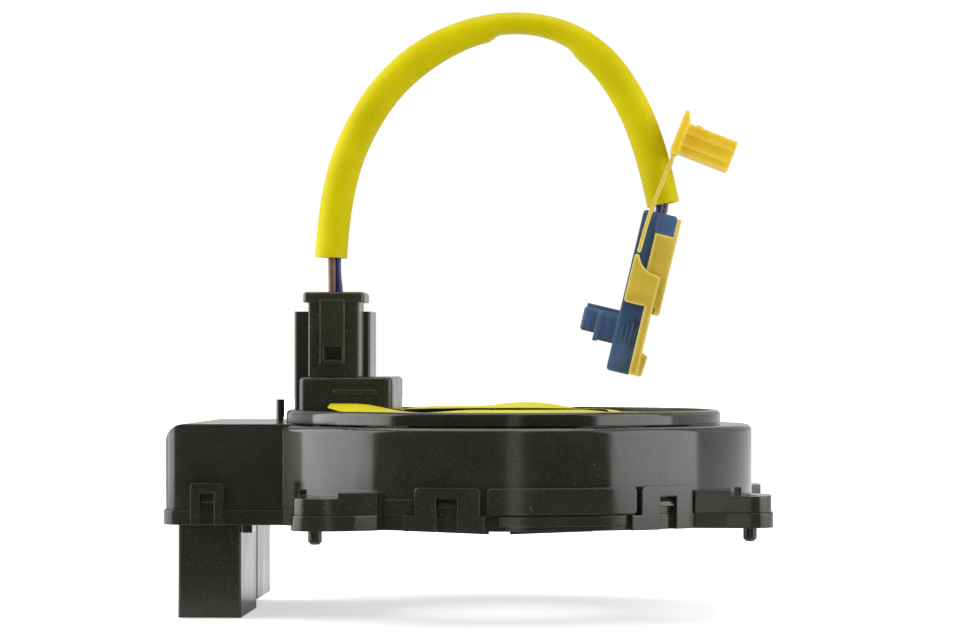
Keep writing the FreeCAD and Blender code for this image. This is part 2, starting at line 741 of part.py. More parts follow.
def pin_row(label, middle, drop):
    """Straight blades that stand in one shroud, as separate solids in one piece."""
    blades = []
    for column in range(COLUMN_PINS):
        blade = doc.addObject("Part::Box", f"{label}_{column}")
        bind(blade, Length="pin_size", Width="pin_size",
             Height=f"{drop} - pin_rise + split + flange_rise + pin_stub")
        bind(blade, **{
            "Placement.Base.x": f"-{SHROUD_MIDDLE} - pin_size / 2",
            "Placement.Base.y": f"{middle} + ({column - 2.5}) * column_pitch - pin_size / 2",
            "Placement.Base.z": f"-({drop} - pin_rise)"})
        blades.append(blade)
    group = doc.addObject("Part::Compound", label)
    group.Links = blades
    return keep(group, label)


def make_slide_sheets():
    for label, low in (("lower_slide_sheet", "split"),
                       ("upper_slide_sheet", "case_top - case_roof - sheet_thick - fit_gap")):
        part = new_body(label)
        outer = "drum_radius - case_wall - fit_gap - spigot_wall - 0.3"
        inner = "cable_start + 0.2"
        corners = [(inner, low), (outer, low), (outer, f"{low} + sheet_thick"),
                   (inner, f"{low} + sheet_thick")]
        turned(part, "ring", corners)


def make_rotor():
    """Hub tube, disc with a raised rim, and a collar that closes the mouth of the case."""
    rotor = new_body("rotor")
    under = "case_top + turn_gap"
    hub = "bore_radius + hub_wall"
    collar = "mouth_radius - turn_gap - 0.2"
    turned(rotor, "disc", [
        ("bore_radius", "0"), (hub, "0"), (hub, under), (f"{collar} - collar_wall", under),
        (f"{collar} - collar_wall", f"{under} - collar_drop"), (collar, f"{under} - collar_drop"),
        (collar, under), ("rim_radius", under), ("rim_radius", "rim_top", "rim_round"),
        ("rim_radius - rim_width", "rim_top"), ("rim_radius - rim_width", "disc_top"),
        ("bore_radius", "disc_top")])
    prism(rotor, "leg_slot", "XY_Plane",
          oblong("-block_right - leg_wall - 0.4", "-block_right + 0.3",
                 f"{SOCKET_MIDDLE} - leg_half - 0.3", f"{SOCKET_MIDDLE} + leg_half + 0.3"),
          f"{under} - 1", "disc_top + 1", cut=True)
    return rotor


def make_retainer():
    """Ring that snaps on the hub from below and keeps the rotor in the cover."""
    part = new_body("retainer_ring")
    inner = "bore_radius + hub_wall + skin_gap"
    outer = f"{inner} + retainer_wall"
    step = "split - cover_plate - turn_gap"
    turned(part, "ring", [(inner, "retainer_low"), ("retainer_flange", "retainer_low"),
                          ("retainer_flange", step), (outer, step), (outer, "retainer_top"),
                          (inner, "retainer_top")])
    notch = prism(part, "notch", "XY_Plane",
                  oblong(inner + " - 1", outer + " + 1", "-1.5", "1.5"),
                  f"{step} + 0.2", "retainer_top + 1", cut=True)
    ring = part.newObject("PartDesign::PolarPattern", "retainer_notches")
    ring.Originals = [notch]
    ring.Axis = (next(o for o in part.Origin.OriginFeatures if o.Role == "Z_Axis"), [""])
    ring.Occurrences = 4
    part.Tip = ring
    return part


def switch_pin_corners(grow):
    """Side view of one bent pin: up in the socket, across the block and down its leg."""
    half = f"(pin_size / 2 + {grow})"
    row = "disc_top + 1.1"
    leg = "-block_right - leg_wall + pin_size / 2"
    return [(f"-switch_pin_x - {half}", f"{row} - {half}"),
            (f"{leg} - {half}", f"{row} - {half}"),
            (f"{leg} - {half}", f"leg_low + 0.4 - {grow}"),
            (f"{leg} + {half}", f"leg_low + 0.4 - {grow}"),
            (f"{leg} + {half}", f"{row} + {half}"),
            (f"-switch_pin_x + {half}", f"{row} + {half}"),
            (f"-switch_pin_x + {half}", f"pin_tip + {grow}"),
            (f"-switch_pin_x - {half}", f"pin_tip + {grow}")]


def switch_pin_place(column):
    return f"{SOCKET_MIDDLE} + ({column - (SWITCH_PINS - 1) / 2}) * pin_pitch"


def make_connector_block():
    """Block on the disc with the switch socket, and a leg that reaches the inner cable end."""
    block = new_body("connector_block")
    prism(block, "base", "XY_Plane", oblong("-block_left", "-block_right", "-block_front",
                                            "block_back", "block_corner"), "disc_top", "block_top")
    dress_edges(block, "Fillet", "top_round", "block_round",
                lambda e: at(e.BoundBox.ZMin, "block_top") and at(e.BoundBox.ZMax, "block_top"))
    turned(block, "rim_room", [("rim_radius - rim_width - fit_gap", "disc_top - 1"),
                               ("rim_radius + 5", "disc_top - 1"),
                               ("rim_radius + 5", "rim_top + skin_gap"),
                               ("rim_radius - rim_width - fit_gap", "rim_top + skin_gap")],
           cut=True)
    prism(block, "leg", "XY_Plane", oblong("-block_right - leg_wall", "-block_right",
                                           f"{SOCKET_MIDDLE} - leg_half",
                                           f"{SOCKET_MIDDLE} + leg_half"),
          "leg_low", "disc_top + 1")
    prism(block, "socket", "XY_Plane", oblong("-socket_left", "-socket_right", "-socket_front",
                                              "block_back", "block_corner / 2"),
          "rim_top + skin_gap", "socket_top")
    prism(block, "socket_room", "XY_Plane",
          oblong("-socket_left + socket_wall", "-socket_right - socket_wall",
                 "-socket_front + socket_wall", "block_back - socket_wall", "0.6"),
          "socket_floor", "socket_top + 1", cut=True)
    prism(block, "tongue_room", "XY_Plane",
          oblong("-holder_left + tongue_inset - fit_gap", "-holder_right - tongue_inset + fit_gap",
                 "-holder_front + tongue_inset - fit_gap",
                 "-holder_back - tongue_inset + fit_gap"),
          "block_top - tongue_drop - fit_gap", "block_top + 1", cut=True)
    prism(block, "front_mark", "XZ_Plane", oblong("-mark_left", "-mark_right", "mark_low",
                                                  "mark_high"),
          "-block_front - mark_reach", "-block_front + 0.5")
    for column in range(SWITCH_PINS):
        place = switch_pin_place(column)
        prism(block, f"pin_way_{column}", "XZ_Plane", switch_pin_corners("skin_gap"),
              f"{place} - pin_size / 2 - skin_gap", f"{place} + pin_size / 2 + skin_gap", cut=True)
    return block


def make_switch_pins():
    """Row of bent pins, as separate solids in one piece."""
    part = new_body("switch_pins")
    for column in range(SWITCH_PINS):
        place = f"({switch_pin_place(column)})"
        prism(part, f"pin_{column}", "XZ_Plane", switch_pin_corners("0"),
              f"{place} - pin_size / 2", f"{place} + pin_size / 2")
    return part


def make_lead_holder():
    """Upright housing that holds the lead's two terminals, plugged into the block."""
    part = new_body("lead_holder")
    prism(part, "tongue", "XY_Plane",
          oblong("-holder_left + tongue_inset", "-holder_right - tongue_inset",
                 "-holder_front + tongue_inset", "-holder_back - tongue_inset"),
          "block_top - tongue_drop", "block_top + 1")
    prism(part, "tower", "XY_Plane", oblong("-holder_left", "-holder_right", "-holder_front",
                                            "-holder_back", "0.6"), "block_top", "flange_top - 1")
    prism(part, "flange", "XY_Plane",
          oblong("-holder_left - holder_flange", "-holder_right + holder_flange",
                 "-holder_front - holder_flange / 2", "-holder_back + holder_flange * 0.8", "1.1"),
          "holder_top", "flange_top")
    dress_edges(part, "Fillet", "flange_round", "flange_round",
                lambda e: at(e.BoundBox.ZMin, "flange_top") and at(e.BoundBox.ZMax, "flange_top"))
    prism(part, "strip", "XY_Plane", oblong("-strip_left", "-strip_right",
                                            "-holder_front - strip_reach", "-holder_front + 1"),
          "strip_low", "holder_top + 0.5")
    prism(part, "latch_window", "XZ_Plane",
          oblong("-strip_left + latch_rim", "-strip_right - latch_rim / 2",
                 "strip_low + latch_rim", "latch_high"),
          "-holder_front - strip_reach - 1", "-holder_front + latch_deep", cut=True)
    for name, place in (("brown", BROWN_ROUTE[0][0]), ("blue", BLUE_ROUTE[0][0])):
        rod(part, name + "_way", "XY_Plane", str(place), "-lead_depth", "wire_hole",
            "block_top - tongue_drop - 1", "flange_top + 1", cut=True)
    return part


def make_lead_terminals():
    blades = []
    for name, place in (("brown", BROWN_ROUTE[0][0]), ("blue", BLUE_ROUTE[0][0])):
        blade = doc.addObject("Part::Box", name + "_terminal")
        bind(blade, Length="wire_radius * 1.4", Width="wire_radius * 1.4",
             Height="wire_start - block_top + tongue_drop - 0.4")
        bind(blade, **{"Placement.Base.x": f"{place} - wire_radius * 0.7",
                       "Placement.Base.y": "-lead_depth - wire_radius * 0.7",
                       "Placement.Base.z": "block_top - tongue_drop + 0.4"})
        blades.append(blade)
    group = doc.addObject("Part::Compound", "lead_terminals")
    group.Links = blades
    return keep(group, "lead_terminals")


def make_label():
    """Plain ring of film on the recessed face, cut out round the connector block."""
    part = new_body("label")
    inner = "bore_radius + film_inset"
    outer = "rim_radius - rim_width - 0.4"
    top = "disc_top + film_thick"
    turned(part, "ring", [(inner, "disc_top"), (outer, "disc_top"), (outer, top), (inner, top)])
    prism(part, "block_room", "XY_Plane",
          oblong("-rim_radius", "-block_right + 0.4", "-block_front - 0.4", "block_back + 0.4"),
          "disc_top - 1", "disc_top + 1", cut=True)
    return part


def make_flat_cable():
    """Spiral ribbon of half circles, from the block's leg to the connector's foot."""
    half_turns = 2 * int(number("cable_turns"))
    thick = number("cable_thick")
    start, end = number("cable_start"), number("cable_end")
    step = (end - start) / half_turns
    sides = {}
    for shift in (-thick / 2, thick / 2):
        arcs = []
        for turn in range(half_turns):
            inner = start + turn * step
            radius = inner + step / 2 + shift
            side = -1 if turn % 2 == 0 else 1
            centre = Vector(-side * step / 2, 0, 0)
            first = centre + Vector(side * radius, 0, 0)
            last = centre - Vector(side * radius, 0, 0)
            middle = centre + Vector(0, side * radius, 0)
            arcs.append(Part.Arc(first, middle, last).toShape())
        sides[shift] = arcs
    inner_arcs, outer_arcs = sides[-thick / 2], sides[thick / 2]
    ends = [Part.LineSegment(inner_arcs[k].Vertexes[v].Point, outer_arcs[k].Vertexes[v].Point)
            for k, v in ((0, 0), (-1, 1))]
    edges = inner_arcs + outer_arcs + [line.toShape() for line in ends]
    outline = Part.Wire(Part.__sortEdges__(edges))
    ribbon = Part.Face(outline).extrude(Vector(0, 0, number("cable_high - cable_low")))
    part = doc.addObject("Part::Feature", "flat_cable")
    part.Shape = ribbon
    part.Placement = Placement(Vector(0, 0, number("cable_low")), Rotation())
    return keep(part, "flat_cable")


def lead_path(route):
    """Straight runs joined by tangent arcs, in the lead's plane. Prints each radius."""
    depth = -number("lead_depth")
    points = [Vector(across, depth, up) for across, up in route]
    edges, radii, last = [], [], points[0]
    for before, corner, after in zip(points, points[1:], points[2:]):
        come, go = corner - before, after - corner
        turn = come.getAngle(go)
        reach = 0.45 * min(come.Length, go.Length)
        radii.append(reach / math.tan(turn / 2))
        come.normalize()
        go.normalize()
        enter, leave = corner - come * reach, corner + go * reach
        inward = (go - come).normalize()
        middle = corner + inward * (radii[-1] / math.cos(turn / 2) - radii[-1])
        edges.append(Part.LineSegment(last, enter).toShape())
        edges.append(Part.Arc(enter, middle, leave).toShape())
        last = leave
    edges.append(Part.LineSegment(last, points[-1]).toShape())
    return Part.Wire(edges), radii


def sweep_along(path, radius):
    first = path.Edges[0]
    start = first.valueAt(first.FirstParameter)
    heading = first.tangentAt(first.FirstParameter)
    ring = Part.Wire(Part.Circle(start, heading, radius).toShape())
    return path.makePipeShell([ring], True, True)


def make_lead():
    """Brown and blue wire and the loose sleeve over them."""
    for label, route in (("wire_brown", BROWN_ROUTE), ("wire_blue", BLUE_ROUTE)):
        path, radii = lead_path(route)
        shape = sweep_along(path, number("wire_radius"))
        part = doc.addObject("Part::Feature", label)
        part.Shape = shape
        keep(part, label)
        ideal = math.pi * number("wire_radius") ** 2 * path.Length
        print(label, "length", round(path.Length, 1), "volume ratio", round(shape.Volume / ideal, 4),
              "radii", [round(r, 1) for r in radii])
    path, radii = lead_path(SLEEVE_ROUTE)
    outer = sweep_along(path, number("sleeve_radius"))
    inner = sweep_along(path, number("sleeve_radius - sleeve_wall"))
    part = doc.addObject("Part::Feature", "lead_sleeve")
    part.Shape = outer.cut(inner)
    keep(part, "lead_sleeve")
    ideal = math.pi * (number("sleeve_radius") ** 2 - number("sleeve_radius - sleeve_wall") ** 2)
    print("lead_sleeve length", round(path.Length, 1), "volume ratio",
          round(part.Shape.Volume / ideal / path.Length, 4), "radii", [round(r, 1) for r in radii])


def place_on_squib(body, across="0", up="0", lean="0"):
    """Stands a body in the airbag connector's leaning frame."""
    body.Placement = Placement(Vector(), Rotation(Vector(0, 1, 0), 1.0))
    bind(body, **{
        "Placement.Base.x": f"squib_x + cos(squib_tilt) * ({across}) + sin(squib_tilt) * ({up})",
        "Placement.Base.y": "-lead_depth",
        "Placement.Base.z": f"squib_z - sin(squib_tilt) * ({across}) + cos(squib_tilt) * ({up})",
        "Placement.Rotation.Angle": f"squib_tilt + ({lean})"})


def make_squib_housing():
    """Blue body of the airbag connector, with its keyed nose pointing left."""
    part = new_body("squib_housing")
    place_on_squib(part)
    prism(part, "body", "XZ_Plane", [
        ("-body_left", "0", "body_round"), ("body_foot_right", "0"),
        ("body_foot_right", "body_waist"), ("body_right", "body_waist"),
        ("body_right", "body_shoulder"), ("body_back", "body_shoulder"),
        ("body_back", "body_top", "body_round"), ("-body_left", "body_top", "body_round")],
        "-body_half", "body_half")
    prism(part, "head", "XZ_Plane", oblong("-head_left", "body_back", "body_head", "body_top",
                                           "body_round"),
          "-body_half - skin", "body_half + skin")
    prism(part, "tip", "YZ_Plane", oblong("-tip_half", "tip_half", "tip_low", "tip_high",
                                          "nose_round"), "-nose_end", "-body_left + 1")
    dress_edges(part, "Chamfer", "tip_bevel", "nose_bevel",
                lambda e: at(e.BoundBox.XMax, "-nose_end"))
    prism(part, "key", "YZ_Plane", oblong("-key_half", "key_half", "tip_high - 1", "key_high"),
          "-nose_end + nose_bevel", "-body_left + 1")
    for name, grow, far in (("collar", "0", "-body_left + 1"),
                            ("ridge", "ridge_reach", "-collar_end + ridge_width")):
        prism(part, name, "YZ_Plane",
              oblong(f"-collar_half - {grow}", f"collar_half + {grow}", f"collar_low - {grow}",
                     f"collar_high + {grow}", "nose_round"), "-collar_end", far)
    prism(part, "room", "XZ_Plane", oblong("-room_left", "-room_right", "nose_height - 2",
                                           "body_head - 1"),
          "-body_half + body_wall", "body_half - body_wall", cut=True)
    prism(part, "bead_room", "XZ_Plane", oblong("-room_right - 0.1", "body_back + 1",
                                                "body_shoulder + 0.4", "body_head - 1"),
          "-body_half + body_wall", "body_half - body_wall", cut=True)
    prism(part, "nose_bore", "YZ_Plane",
          oblong("-bore_half", "bore_half", "nose_height - bore_rise", "nose_height + bore_rise",
                 "0.4"), "-nose_end - 1", "-room_left + 0.2", cut=True)
    for name, place in (("brown", "0.25"), ("blue", "-1.45")):
        rod(part, name + "_way", "XY_Plane", place, "0", "wire_hole", "body_head - 2",
            "body_top + 1", cut=True)
    ribs = [("-2.7", "0.2", "1.5"), ("-1.8", "0.25", "2.6"), ("-0.7", "0.4", "3.3"),
            ("0.2", "0.25", "2.6")]
    faces = [("front", "-body_half - grip_reach", "-body_half + 0.3"),
             ("rear", "body_half - 0.3", "body_half + grip_reach")]
    for side, low, high in faces:
        for rib, (place, half, reach) in enumerate(ribs):
            prism(part, f"grip_{side}_{rib}", "XZ_Plane",
                  [(f"{place} - {half}", "grip_height"), (place, f"grip_height - {reach}"),
                   (f"{place} + {half}", "grip_height"), (place, f"grip_height + {reach}")],
                  low, high)
    return part


def make_squib_cover():
    """Yellow back of the airbag connector, with a wing down each side."""
    part = new_body("squib_cover")
    place_on_squib(part)
    outer = "body_half + skin"
    inner = "body_half + skin_gap"
    near = "body_right + skin_gap"
    prism(part, "back", "XZ_Plane", [
        ("body_back + skin_gap", "body_shoulder"), ("body_right + cover_side", "body_shoulder - 0.6"),
        ("body_right + cover_side", "cover_low"), ("cover_back", "cover_low", "0.5"),
        ("cover_back", "cover_high", "0.4"), ("body_back + skin_gap", "cover_high")],
        f"-({outer})", outer)
    prism(part, "web", "XZ_Plane", oblong(near, "cover_back - 0.5", "cover_low",
                                          "body_shoulder - skin_gap"), "-body_half", "body_half")
    wing = oblong("-wing_left", "body_back + 0.5", "body_waist + skin_gap", "body_head - 0.1")
    prism(part, "front_wing", "XZ_Plane", wing, f"-({outer})", f"-({inner})")
    prism(part, "rear_wing", "XZ_Plane", wing, inner, outer)
    return part


def make_lock_frame():
    """Yellow frame round the housing: side plates, spring tongue and strap roots."""
    part = new_body("squib_lock_frame")
    place_on_squib(part)
    prism(part, "tongue", "XZ_Plane",
          oblong("body_foot_right + skin_gap", "body_right", "tongue_low",
                 "body_waist - skin_gap"), f"-{LOCK_OUT}", LOCK_OUT)
    prism(part, "hook", "XZ_Plane", [
        ("body_right - 0.2", "tongue_low"), ("hook_reach - 0.4", "tongue_low", "0.6"),
        ("hook_reach", "hook_low", "0.3"), ("body_right - 0.2", "hook_high")],
        "-body_half", "body_half")
    horn = "root_z - strap_thick / 2 - hinge_gap"
    plate = [("-plate_left", "plate_low", "0.8"), ("body_foot_right + skin_gap", "plate_low"),
             ("body_foot_right + skin_gap", "plate_low - 1.6"),
             ("body_right", "plate_low - 1.6"),
             ("body_right + 0.15", "plate_high", "plate_round"), ("-0.3", "22.5", "plate_bend"),
             ("-2.1", "23.8", "plate_bend"), ("-2.95", f"{horn} - 0.1", "0.2"),
             ("-plate_left + 0.1", f"{horn} - 0.1", "0.3")]
    pad = oblong("-plate_left + 0.1", "-wing_left - 0.1", "plate_low + 0.4", "plate_high - 0.2")
    inner = "body_half + skin_gap"
    for name, low, high, root in (("front", f"-{LOCK_OUT}", f"-{LOCK_IN}", f"-({inner})"),
                                  ("rear", LOCK_IN, LOCK_OUT, inner)):
        prism(part, name + "_plate", "XZ_Plane", plate, low, high)
        if name == "front":
            prism(part, "front_pad", "XZ_Plane", pad, f"{high} - 0.2", root)
        else:
            prism(part, "rear_pad", "XZ_Plane", pad, root, f"{low} + 0.2")
    return part


def make_squib_inside():
    """Ferrite bead and the two bent contacts inside the airbag connector."""
    bead = new_body("squib_ferrite")
    place_on_squib(bead)
    prism(bead, "block", "XZ_Plane", oblong("-0.3", "body_back - 0.3", "body_shoulder + 0.6",
                                            "body_head - 3.1"),
          "-body_half + 1.4", "body_half - 1.4")
    part = new_body("squib_terminals")
    place_on_squib(part)
    side = [("-nose_end + 1", "nose_height - 0.3"), ("-1.6", "nose_height - 0.3"),
            ("-1.6", "body_head - 2.8"), ("0.6", "body_head - 2.8"), ("0.6", "body_head - 1.3"),
            ("-2.2", "body_head - 1.3"), ("-2.2", "nose_height + 0.3"),
            ("-nose_end + 1", "nose_height + 0.3")]
    for name, low, high in (("front", "-1.2", "-0.4"), ("rear", "0.4", "1.2")):
        prism(part, name, "XZ_Plane", side, low, high)


def make_lock_straps():
    """Two thin, slightly bowed straps on the lock frame, one each side of the lead."""
    part = new_body("lock_straps")
    place_on_squib(part, "root_x", "root_z", "strap_lean")
    half = "strap_thick / 2"
    side = [(f"-{half}", "0"), (half, "0"), (f"{half} - strap_bow", "bow_height", "bow_radius"),
            (half, "strap_length"), (f"-{half}", "strap_length"),
            (f"-{half} - strap_bow", "bow_height", "bow_radius")]
    for name, near, far in (("front", f"-{LOCK_OUT}", f"-{LOCK_IN}"), ("rear", LOCK_IN, LOCK_OUT)):
        prism(part, name, "XZ_Plane", side, near, far)
        rod(part, name + "_foot", "XZ_Plane", "0", "0", half, near, far)
        rod(part, name + "_head", "XZ_Plane", "0", "strap_length", half, near, far)
    return part


def make_lock_cap():
    """Plate across the straps with the plug that locks the back of the connector."""
    part = new_body("lock_cap")
    end_x = "root_x + sin(strap_lean) * strap_length"
    end_z = "root_z + cos(strap_lean) * strap_length"
    place_on_squib(part, end_x, end_z, "cap_lean")
    foot = "strap_thick / 2 + hinge_gap"
    plug_end = "cap_right + plug_length"
    prism(part, "plate", "XZ_Plane", [
        ("-0.5", foot), ("0.35", foot), ("cap_right", "cap_waist"), ("cap_right", "cap_height - 2"),
        ("-0.15", "cap_height", "cap_round"), ("-cap_left + 0.1", "cap_height", "cap_round"),
        ("-cap_left", "cap_waist")], f"-{LOCK_OUT}", LOCK_OUT)
    prism(part, "plug", "XZ_Plane", [
        ("cap_right - 0.5", "plug_low"), (plug_end, "plug_low", "plug_round"),
        (plug_end, "plug_high", "plug_round"), ("cap_right - 0.5", "plug_high")],
        "-plug_half", "plug_half")
    for name, low, high in (("front", "-plug_half - plug_rib_reach", "-plug_half + 0.2"),
                            ("rear", "plug_half - 0.2", "plug_half + plug_rib_reach")):
        for rib, base in (("low", "plug_low + 1.6"), ("high", "plug_high - 2.4")):
            prism(part, f"{name}_{rib}_rib", "XZ_Plane",
                  oblong("cap_right", f"{plug_end} - 1", base, f"{base} + plug_rib"), low, high)
    prism(part, "bump", "XZ_Plane", oblong("2.4", "3.8", "plug_high - 0.3", "plug_high + 0.5"),
          "-1.5", "1.5")
    return part


def check_and_write():
    """Stops on a failed object or shape, then writes one file for each piece."""
    for thing in doc.Objects:
        if "Invalid" in thing.State or "Error" in thing.State:
            raise RuntimeError(f"{thing.Label} is {thing.State}")
    for piece in pieces:
        if piece.Shape.isNull() or not piece.Shape.isValid():
            raise RuntimeError(f"{piece.Label} has no valid shape")
    os.makedirs("parts", exist_ok=True)
    for piece in pieces:
        piece.Shape.exportStep(f"parts/{piece.Label}.step")
        box = piece.Shape.BoundBox
        print(piece.Label, len(piece.Shape.Solids), "solids", round(piece.Shape.Volume, 1), "mm3",
              [round(v, 2) for v in (box.XMin, box.YMin, box.ZMin, box.XMax, box.YMax, box.ZMax)])


make_case()
make_cover()
make_column_connector()
pin_row("front_terminal_pins", "(-shroud_front + shroud_split - shroud_gap / 2) / 2", "front_drop")
pin_row("rear_terminal_pins", "(shroud_back + shroud_split + shroud_gap / 2) / 2", "back_drop")
make_slide_sheets()
make_rotor()
make_retainer()
make_connector_block()
make_switch_pins()
make_lead_holder()
make_lead_terminals()
make_label()
make_flat_cable()
make_lead()
make_squib_housing()
make_squib_cover()
make_lock_frame()
make_squib_inside()
make_lock_straps()
make_lock_cap()
doc.recompute()
check_and_write()
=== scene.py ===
"""Steering clock spring, dressed for its pictures. Metres, in the part's own frame.

+Z runs up the steering axis, -Y is the front with the lead holder, -X is the side box."""

import math
from functools import partial

import bmesh
import bpy
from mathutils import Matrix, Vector


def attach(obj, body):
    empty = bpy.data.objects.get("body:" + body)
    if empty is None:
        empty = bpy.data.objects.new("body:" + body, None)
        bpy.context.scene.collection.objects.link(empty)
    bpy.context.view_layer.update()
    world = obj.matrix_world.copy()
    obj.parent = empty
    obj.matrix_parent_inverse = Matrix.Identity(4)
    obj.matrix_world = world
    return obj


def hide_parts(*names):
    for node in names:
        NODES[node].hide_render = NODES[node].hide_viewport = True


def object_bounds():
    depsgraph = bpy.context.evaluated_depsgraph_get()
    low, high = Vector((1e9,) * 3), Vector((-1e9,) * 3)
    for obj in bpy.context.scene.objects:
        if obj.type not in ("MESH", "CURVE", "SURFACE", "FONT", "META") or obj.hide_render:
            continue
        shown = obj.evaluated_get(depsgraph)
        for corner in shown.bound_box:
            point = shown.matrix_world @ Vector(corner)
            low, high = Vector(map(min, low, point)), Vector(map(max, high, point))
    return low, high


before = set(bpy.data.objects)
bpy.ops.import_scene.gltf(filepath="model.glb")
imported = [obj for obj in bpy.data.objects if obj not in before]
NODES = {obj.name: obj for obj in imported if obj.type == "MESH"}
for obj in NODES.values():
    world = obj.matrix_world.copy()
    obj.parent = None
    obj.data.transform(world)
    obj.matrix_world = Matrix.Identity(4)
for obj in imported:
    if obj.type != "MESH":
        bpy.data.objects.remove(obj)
cad_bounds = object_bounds()
FLOOR_LEVEL = cad_bounds[0][2]

# Airbag lead: the (x, z) points that its tubes follow, in the upright plane y = LEAD_PLANE.
# A third number moves a point towards the rear. The lengths are those of the CAD tubes.
LEAD_PLANE = -0.011
WIRE_DIAMETER = 0.0016
SLEEVE_DIAMETER = 0.007
SLEEVE_WALL = 0.0009
SLEEVE_ROUTE = [
    (-0.0370, 0.0571), (-0.0364, 0.0680), (-0.0323, 0.0830), (-0.0226, 0.0974),
    (-0.0080, 0.1062), (0.0074, 0.1077), (0.0200, 0.1023), (0.0281, 0.0913),
    (0.0329, 0.0787), (0.0350, 0.0685),
]
BROWN_ROUTE = [
    (-0.0368, 0.0460), (-0.0367, 0.0540), (-0.0373, 0.0681), (-0.0332, 0.0834),
    (-0.0232, 0.0981), (-0.0082, 0.1068, -0.0008), (0.0076, 0.1083, -0.0008), (0.0205, 0.1029),
    (0.0289, 0.0918), (0.0338, 0.0789), (0.0357, 0.0696, 0.0007), (0.0347, 0.0652, 0.0007),
    (0.03392, 0.06087),
]
BLUE_ROUTE = [
    (-0.0351, 0.0460), (-0.0352, 0.0500, 0.0004), (-0.0358, 0.0535, 0.0014),
    (-0.0357, 0.0590, 0.0014), (-0.0356, 0.0677, 0.0006), (-0.0315, 0.0826), (-0.0220, 0.0967),
    (-0.0078, 0.1060, 0.0008), (0.0072, 0.1076, 0.0008), (0.0194, 0.1019), (0.0273, 0.0908),
    (0.0319, 0.0787), (0.0347, 0.0700, -0.0008), (0.0338, 0.0655, -0.0008), (0.03227, 0.06126),
]
# The sleeve is pressed flat above PRESS_ABOVE, in two steps. Each: from and to which x, over
# what slope beyond them, how much wider and flatter, and how far above the tube's middle.
PRESS_ABOVE = 0.085
SLEEVE_PRESSES = [
    (0.0, 0.009, 0.022, 0.12, 0.16, 0.0008),
    (-0.0006, 0.0160, 0.0030, 0.08, 0.2, 0.0031),
]

# Yellow film ring: it is left open round the connector block, and its outer corner there is gone.
FILM_INNER, FILM_OUTER = 0.0235, 0.0452
FILM_LEVEL = 0.02288
FILM_THICKNESS = 0.00012
FILM_SIDES, FILM_BANDS = 120, 9
BLOCK_RIGHT, BLOCK_FRONT, BLOCK_BACK = -0.0227, -0.0194, 0.0128
CORNER_RIGHT, CORNER_FRONT = -0.0362, -0.03

# Radius of the painted highlight along the black plastic's edges, and of the painted light along
# the coloured plastic's corners.
EDGE_HIGHLIGHT_RADIUS = 0.0004
EDGE_LIGHT_RADIUS = 0.0013

# Camera that sees the part as the photo does.
PHOTO_WIDTH = 960
FOCAL_PIXELS = 3181.8
CAMERA_SPOT = Vector((0.029031, -0.699417, 0.03465))
CAMERA_TURN = math.radians(2.8)
CAMERA_RISE = math.radians(0.738)

# Lamps: where each hangs, what it faces, its width and height, and its watts.
LAMPS = {
    "left_box": ((-0.6, -0.05, 0.36), (0.0, 0.0, 0.36), 0.66, 0.76, 5.6),
    "right_box": ((0.576, -0.166, 0.36), (0.0, 0.0, 0.36), 0.53, 0.76, 3.4),
    "top_box": ((0.0, 0.1, 1.1), (0.0, 0.0, 0.03), 0.9, 0.9, 5.5),
}

# The room's front as the black plastic mirrors it, from far left (0) to far right (1): dim, with
# one pale gap, between pale sides.
DIM = 0.1
ROOM_FRONT = [(0.04, 1.0), (0.06, DIM), (0.53, DIM), (0.54, 1.0), (0.585, 1.0), (0.595, DIM),
              (0.88, DIM), (0.9, 1.0)]
# Brightness of the surroundings as a light, and of the room's rear and the floor in mirrors.
ROOM_LEVEL = 0.55
REAR_LEVEL = 0.65
MIRRORED_FLOOR = 0.3
# The floor's dim front ends at this y. What the camera sees of the floor glows, more so far off.
FRONT_FLOOR_EDGE = -0.06
FLOOR_GLOW, FLOOR_GLOW_GAIN = 0.55, 0.6


def nothing_selected():
    """Leaves no object selected, so that an operator acts on the new piece alone."""
    bpy.ops.object.select_all(action="DESELECT")


def choose_vertices(piece, wanted):
    """Selects a mesh's vertices by a test of their place; the piece is in edit mode."""
    shape = bmesh.from_edit_mesh(piece.data)
    for vertex in shape.verts:
        vertex.select = wanted(vertex.co)
    shape.select_flush_mode()
    bmesh.update_edit_mesh(piece.data)


def lead_curve(name, route):
    """Smooth open line through the lead's plane, with the route as its control points."""
    data = bpy.data.curves.new(name, "CURVE")
    data.dimensions = "3D"
    data.resolution_u = 16
    line = data.splines.new("NURBS")
    line.points.add(len(route) - 1)
    for point, spot in zip(line.points, route):
        back = spot[2] if len(spot) > 2 else 0.0
        point.co = (spot[0], LEAD_PLANE + back, spot[1], 1.0)
    line.order_u = 3
    line.use_endpoint_u = True
    piece = bpy.data.objects.new(name, data)
    bpy.context.scene.collection.objects.link(piece)
    return piece


def points_along(route):
    """Points of the route's smooth line, close together."""
    guide = lead_curve("guide", route)
    bpy.context.view_layer.update()
    mesh = bpy.data.meshes.new_from_object(guide)
    points = [Vector(vertex.co) for vertex in mesh.vertices]
    bpy.data.objects.remove(guide)
    bpy.data.meshes.remove(mesh)
    return points


def maths_node(tree, operation, first, second):
    """Result of a maths node; first and second are numbers or other nodes' outputs."""
    node = tree.nodes.new("ShaderNodeMath")
    node.operation = operation
    for socket, value in zip(node.inputs, (first, second)):
        if isinstance(value, (int, float)):
            socket.default_value = value
        else:
            tree.links.new(value, socket)
    return node.outputs["Value"]


